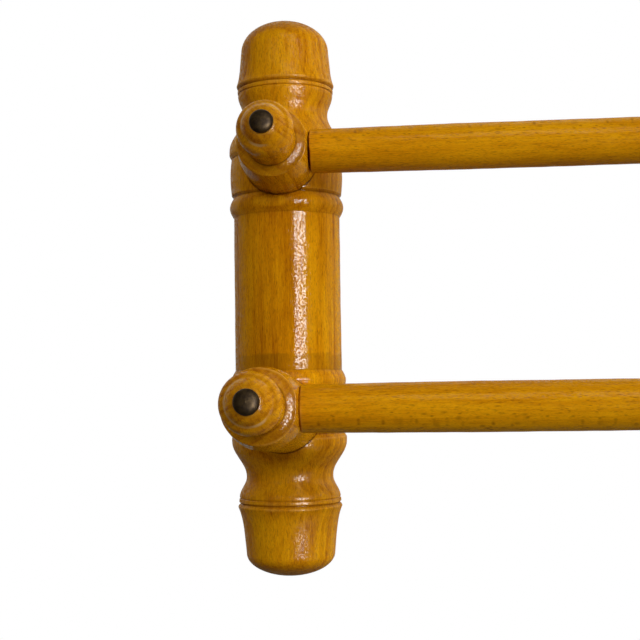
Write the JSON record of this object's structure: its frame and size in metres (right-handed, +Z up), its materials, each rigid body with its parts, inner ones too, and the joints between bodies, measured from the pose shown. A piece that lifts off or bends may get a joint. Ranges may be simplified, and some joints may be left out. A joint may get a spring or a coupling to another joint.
{
  "type": "newspaper rack",
  "caption": "Wall-mounted newspaper rack: round wooden rails held in front of each other by turned arms on turned vertical posts, over which newspapers are draped.",
  "frame": {"origin": "midway between the round holes of the two keyhole hanger plates, on the wall plane", "axes": "+Z up, +Y into the wall, -Y the front that faces the reader, +X along the rails to the right"},
  "size_m": [0.6192, 0.165, 0.288],
  "materials": {
    "post_beech": "honey-amber gloss varnish on turned beech, grain upright",
    "arm_beech": "honey-amber gloss varnish on turned beech, grain along the arm",
    "rail_beech": "honey-amber gloss varnish on beech dowel, grain along the rail",
    "nail_metal": "dark brown patina, rough and speckled",
    "screw_brass": "dulled slotted wood screw",
    "plate_steel": "zinc-plated, slightly dulled"
  },
  "bodies": {
    "root": {"left_post": "post_beech", "right_post": "post_beech", "left_upper_arm": "arm_beech", "left_lower_arm": "arm_beech", "right_upper_arm": "arm_beech", "right_lower_arm": "arm_beech", "upper_rail": "rail_beech", "lower_rail": "rail_beech", "left_upper_nail": "nail_metal", "left_lower_nail": "nail_metal", "right_upper_nail": "nail_metal", "right_lower_nail": "nail_metal", "left_upper_arm_screw": "screw_brass", "left_lower_arm_screw": "screw_brass", "right_upper_arm_screw": "screw_brass", "right_lower_arm_screw": "screw_brass", "left_hanger_plate": "plate_steel", "right_hanger_plate": "plate_steel", "left_plate_upper_screw": "screw_brass", "left_plate_lower_screw": "screw_brass", "right_plate_upper_screw": "screw_brass", "right_plate_lower_screw": "screw_brass"}
  },
  "joints": []
}
